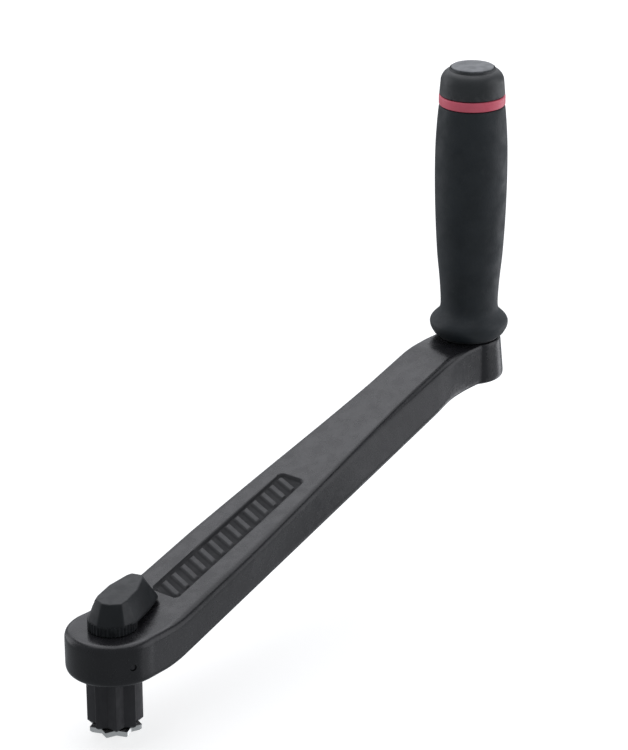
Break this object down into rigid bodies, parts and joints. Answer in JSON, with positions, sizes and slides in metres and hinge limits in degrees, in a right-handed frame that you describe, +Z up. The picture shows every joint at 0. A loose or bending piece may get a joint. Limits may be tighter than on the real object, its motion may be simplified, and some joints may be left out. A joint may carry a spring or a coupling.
{
  "type": "winch handle",
  "caption": "Lock-in winch handle: forged arm, star drive stud with a thumb lever that locks it, and a free-spinning upright rubber grip with a red ring under its cap",
  "frame": {"origin": "on the drive axis, at the underside of the head, the shoulder that rests on the winch", "axes": "+Z up along the drive axis, +X along the arm to the grip, +Y to the left of the arm seen from above with the grip away"},
  "size_m": [0.2934, 0.0416, 0.2415],
  "materials": {
    "forged_arm": "black satin anodised forging",
    "blackened_steel": "black oxide, satin",
    "stainless": "bright stainless, fine brushed",
    "bronze": "sintered bearing bronze, oiled",
    "seal_rubber": "moulded seal rubber",
    "black_nylon": "glass-filled nylon, fine moulded texture",
    "acetal": "natural acetal, turned",
    "grip_rubber": "soft-touch matt rubber",
    "red_plastic": "red, semi-gloss",
    "grey_nylon": "grey nylon, satin",
    "grey_disc": "lighter grey nylon, satin"
  },
  "bodies": {
    "arm_body": {"arm": "forged_arm", "drive_stud": "blackened_steel", "stud_retaining_pin": "blackened_steel", "spindle_bush_lower": "bronze", "spindle_bush_upper": "bronze", "spindle_o_ring": "seal_rubber", "return_spring": "stainless", "grip_spindle": "stainless", "spindle_nut": "stainless", "spindle_washer": "stainless", "base_washer": "black_nylon", "thrust_washer_lower": "acetal", "thrust_washer_upper": "acetal", "retaining_washer": "stainless", "retaining_screw": "stainless"},
    "lock": {"lock_spindle": "stainless", "lock_plate": "stainless", "lock_plate_screw": "stainless", "lock_lever": "black_nylon", "lever_grub_screw": "stainless"},
    "grip": {"grip_core": "black_nylon", "grip_bush_lower": "acetal", "grip_bush_upper": "acetal", "grip_sleeve": "grip_rubber", "accent_ring": "red_plastic", "grip_cap": "grey_nylon", "cap_disc": "grey_disc"}
  },
  "joints": [
    {"name": "grip_spin", "type": "hinge", "parent": "arm_body", "child": "grip", "pos_m": [0.254, 0, 0.14], "axis": [0, 0, 1], "continuous": true},
    {"name": "lock_turn", "type": "hinge", "parent": "arm_body", "child": "lock", "pos_m": [0, 0, 0.02], "axis": [0, 0, 1], "range_deg": [-22.5, 0], "stiffness_Nm_per_rad": 0.1, "springref_deg": 28.65}
  ]
}
